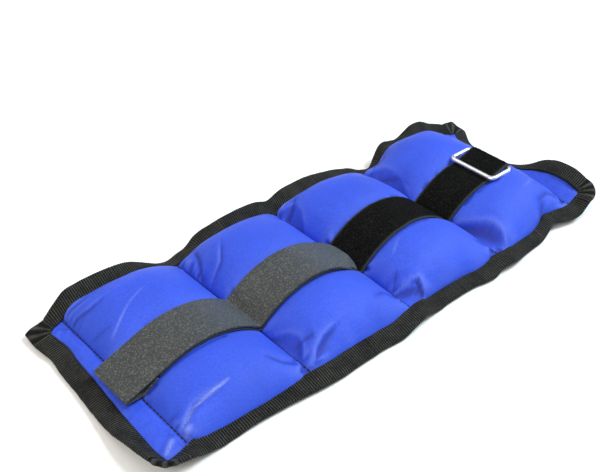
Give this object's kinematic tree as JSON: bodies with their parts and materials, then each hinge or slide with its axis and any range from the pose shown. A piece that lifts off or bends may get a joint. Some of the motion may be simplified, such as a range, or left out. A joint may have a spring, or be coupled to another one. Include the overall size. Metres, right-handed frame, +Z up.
{
  "type": "ankle cuff weight",
  "caption": "Soft ankle weight lying open: sand pockets sewn in a row, a binding all round, an outer loop tape, a folded-back hook strap and a wire ring to tighten it.",
  "frame": {"origin": "middle of the cuff, at the height of the table it lies on", "axes": "+X along the cuff towards the ring, +Y across it, +Z up from the table, out of the outer face"},
  "size_m": [0.344, 0.138, 0.0286],
  "materials": {
    "cover_cloth": "fine woven nylon, satin",
    "lining_cloth": "fine woven nylon, satin",
    "bag_film": "translucent film",
    "sand": "loose dry grains",
    "binding": "ribbed grosgrain, dull",
    "loop_tape": "brushed loop pile",
    "hook_strap": "smooth woven tape",
    "thread": "sewing thread",
    "ring_metal": "bright nickel plate"
  },
  "bodies": {
    "pocket_2": {"outer_cover_2": "cover_cloth", "lining_2": "lining_cloth", "sand_bag_2": "bag_film", "sand_fill_2": "sand", "front_binding_2": "binding", "back_binding_2": "binding", "binding_thread_2": "thread", "loop_tape_2": "loop_tape", "seam_thread_2": "thread", "seam_thread_3": "thread"},
    "pocket_1": {"outer_cover_1": "cover_cloth", "lining_1": "lining_cloth", "sand_bag_1": "bag_film", "sand_fill_1": "sand", "front_binding_1": "binding", "back_binding_1": "binding", "binding_thread_1": "thread", "loop_tape_1": "loop_tape", "seam_thread_1": "thread", "strap_anchor": "hook_strap", "anchor_stitches": "thread"},
    "pocket_3": {"outer_cover_3": "cover_cloth", "lining_3": "lining_cloth", "sand_bag_3": "bag_film", "sand_fill_3": "sand", "front_binding_3": "binding", "back_binding_3": "binding", "binding_thread_3": "thread", "loop_tape_3": "loop_tape", "seam_thread_4": "thread"},
    "pocket_4": {"outer_cover_4": "cover_cloth", "lining_4": "lining_cloth", "sand_bag_4": "bag_film", "sand_fill_4": "sand", "front_binding_4": "binding", "back_binding_4": "binding", "binding_thread_4": "thread", "loop_tape_4": "loop_tape", "seam_thread_5": "thread", "keeper_stitches": "thread"},
    "flap_left": {"left_flap_cover": "cover_cloth", "left_flap_lining": "lining_cloth", "left_end_binding": "binding", "left_end_thread": "thread"},
    "flap_right": {"right_flap_cover": "cover_cloth", "right_flap_lining": "lining_cloth", "right_end_binding": "binding", "right_end_thread": "thread"},
    "strap_base": {"hook_strap_base": "hook_strap"},
    "strap_tip": {"hook_strap_tip": "hook_strap"},
    "ring": {"buckle_ring": "ring_metal"}
  },
  "joints": [
    {"name": "seam_2", "type": "hinge", "parent": "pocket_2", "child": "pocket_1", "pos_m": [-0.075, 0, 0.006], "axis": [0, -1, 0], "range_deg": [-30, 75]},
    {"name": "seam_1", "type": "hinge", "parent": "pocket_1", "child": "flap_left", "pos_m": [-0.15, 0, 0.006], "axis": [0, -1, 0], "range_deg": [-15, 65]},
    {"name": "seam_3", "type": "hinge", "parent": "pocket_2", "child": "pocket_3", "pos_m": [0, 0, 0.006], "axis": [0, 1, 0], "range_deg": [-30, 75]},
    {"name": "seam_4", "type": "hinge", "parent": "pocket_3", "child": "pocket_4", "pos_m": [0.075, 0, 0.006], "axis": [0, 1, 0], "range_deg": [-30, 75]},
    {"name": "seam_5", "type": "hinge", "parent": "pocket_4", "child": "flap_right", "pos_m": [0.15, 0, 0.006], "axis": [0, 1, 0], "range_deg": [-15, 65]},
    {"name": "strap_peel", "type": "hinge", "parent": "pocket_1", "child": "strap_base", "pos_m": [-0.1585, -0.005, 0.00935], "axis": [0, -1, 0], "range_deg": [0, 160]},
    {"name": "strap_bend", "type": "hinge", "parent": "strap_base", "child": "strap_tip", "pos_m": [-0.075, -0.005, 0.006], "axis": [0, 1, 0], "range_deg": [-30, 75]},
    {"name": "ring_flip", "type": "hinge", "parent": "pocket_4", "child": "ring", "pos_m": [0.129, -0.005, 0.02555], "axis": [0, 1, 0], "range_deg": [0, 180]}
  ],
  "couplings": [
    {"joint": "strap_bend", "follows": "seam_2", "ratio": 1}
  ]
}
